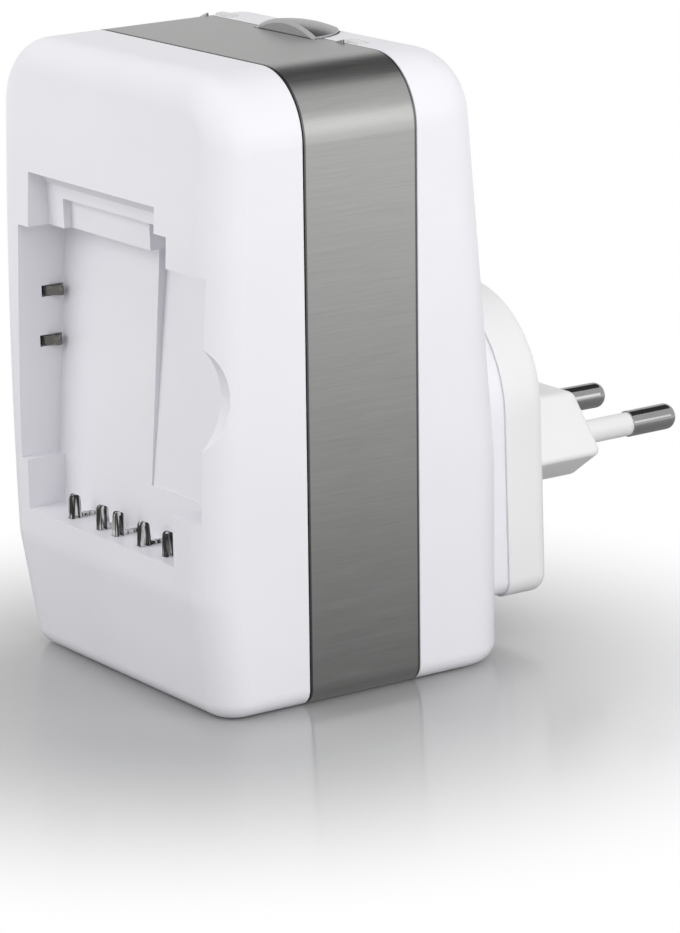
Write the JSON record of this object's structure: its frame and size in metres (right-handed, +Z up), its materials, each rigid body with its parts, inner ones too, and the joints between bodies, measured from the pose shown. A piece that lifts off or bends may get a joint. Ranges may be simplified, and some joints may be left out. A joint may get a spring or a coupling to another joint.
{
  "type": "camera battery charger",
  "caption": "Upright two-shell battery charger with a silver band, a stepped battery bay with sprung contacts in front, a top push button and a rear mains plug.",
  "frame": {"origin": "on the flat base, under the middle of the silver band", "axes": "+Z up, +Y along the mains pins, battery bay facing -Y, +X to the right seen from the bay"},
  "size_m": [0.062, 0.0955, 0.093],
  "materials": {
    "white_plastic": "smooth satin moulding",
    "silver_trim": "fine brushed",
    "bright_metal": "bright nickel plate",
    "contact_metal": "nickel-plated spring strip",
    "light_plastic": "clear diffusing plastic",
    "lamp_plastic": "clear lens",
    "dark_plastic": "matt moulding",
    "ribbon_plastic": "flat cable",
    "board_laminate": "coated laminate",
    "ferrite": "sintered",
    "winding_tape": "taped winding",
    "capacitor_sleeve": "shrink sleeve",
    "fuse_glass": "glass tube with metal caps",
    "terminal_brass": "stamped strip",
    "screw_steel": "zinc plated"
  },
  "bodies": {
    "housing": {"front_shell": "white_plastic", "rear_shell": "white_plastic", "plug_module": "white_plastic", "pin_sleeve_left": "white_plastic", "pin_sleeve_right": "white_plastic", "trim_band": "silver_trim", "plug_pin_left": "bright_metal", "plug_pin_right": "bright_metal", "light_window_left": "light_plastic", "light_window_right": "light_plastic", "indicator_led_left": "lamp_plastic", "indicator_led_right": "lamp_plastic", "contact_carrier": "dark_plastic", "contact_ribbon": "ribbon_plastic", "circuit_board": "board_laminate", "tact_switch": "dark_plastic", "transformer_core": "ferrite", "transformer_winding": "winding_tape", "mains_capacitor": "capacitor_sleeve", "output_capacitor": "capacitor_sleeve", "mains_fuse": "fuse_glass", "bridge_rectifier": "dark_plastic", "charge_controller": "dark_plastic", "mains_terminal_left": "terminal_brass", "mains_terminal_right": "terminal_brass", "case_screws": "screw_steel", "floor_contact_1": "contact_metal", "floor_contact_2": "contact_metal", "floor_contact_3": "contact_metal", "floor_contact_4": "contact_metal", "floor_contact_5": "contact_metal"},
    "button": {"push_button": "silver_trim", "switch_plunger": "dark_plastic"},
    "leaf_upper": {"wall_contact_upper": "contact_metal"},
    "leaf_lower": {"wall_contact_lower": "contact_metal"}
  },
  "joints": [
    {"name": "button_press", "type": "slide", "parent": "housing", "child": "button", "axis": [0, 0, -1], "range_m": [0, 0.0008], "stiffness_N_per_m": 1500},
    {"name": "leaf_upper_swing", "type": "hinge", "parent": "housing", "child": "leaf_upper", "pos_m": [-0.0246, -0.02337, 0.0535], "axis": [0, 0, 1], "range_deg": [0, 10], "stiffness_Nm_per_rad": 0.012},
    {"name": "leaf_lower_swing", "type": "hinge", "parent": "housing", "child": "leaf_lower", "pos_m": [-0.0246, -0.02402, 0.0461], "axis": [0, 0, 1], "range_deg": [0, 10], "stiffness_Nm_per_rad": 0.012}
  ]
}
